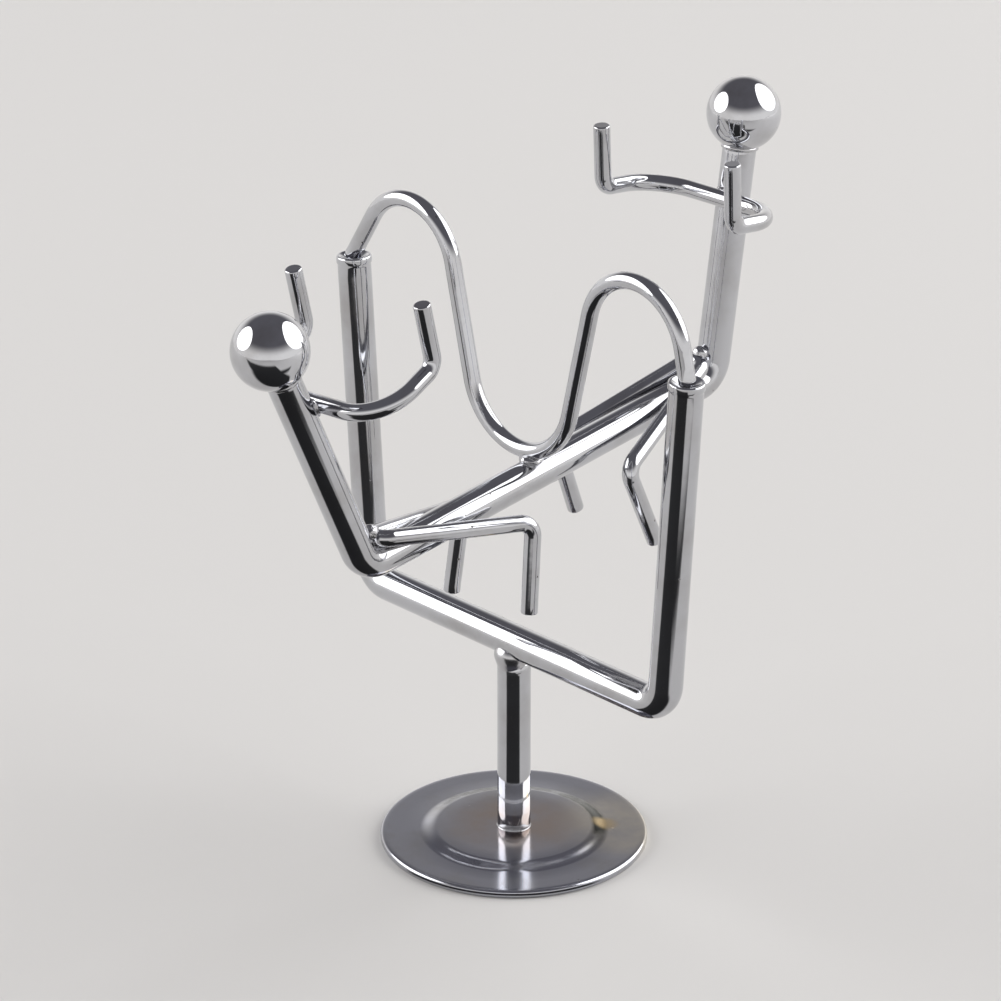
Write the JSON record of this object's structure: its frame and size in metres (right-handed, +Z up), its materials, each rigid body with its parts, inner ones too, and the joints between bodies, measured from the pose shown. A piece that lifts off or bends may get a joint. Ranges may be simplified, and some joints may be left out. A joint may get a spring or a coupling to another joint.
{
  "type": "balancing seesaw desk toy",
  "caption": "Chromed wire desk toy: stick figures with ball heads sit facing on a beam that hangs from a looped wire and rocks in cups on a forked stand with a round base.",
  "frame": {"origin": "middle of the base disc's flat underside", "axes": "+Z up along the post; X along the beam, with the right figure at +X and the left figure at -X; Y along the rocking axis, from one cup of the fork to the other"},
  "size_m": [0.1027, 0.0744, 0.1105],
  "materials": {
    "chromed_plate": "bright chrome plate on a pressed steel disc, lightly stained",
    "chromed_rod": "bright chrome plate on drawn steel rod",
    "chromed_wire": "bright chrome plate on drawn steel wire, with small nicks",
    "chromed_ball": "mirror chrome plate on a polished steel ball",
    "chromed_weld": "chrome plate over uneven weld"
  },
  "bodies": {
    "stand": {"base_disc": "chromed_plate", "post": "chromed_rod", "fork": "chromed_rod", "foot_weld": "chromed_weld", "bar_weld": "chromed_weld"},
    "rocker": {"hanger": "chromed_wire", "beam": "chromed_rod", "left_head": "chromed_ball", "right_head": "chromed_ball", "left_arms": "chromed_wire", "right_arms": "chromed_wire", "left_legs": "chromed_wire", "right_legs": "chromed_wire", "hanger_weld": "chromed_weld", "neck_welds": "chromed_weld", "shoulder_welds": "chromed_weld", "hip_welds": "chromed_weld"}
  },
  "joints": [
    {"name": "rock", "type": "hinge", "parent": "stand", "child": "rocker", "pos_m": [0, 0, 0.08375], "axis": [0, -1, 0], "range_deg": [-30, 30]}
  ]
}
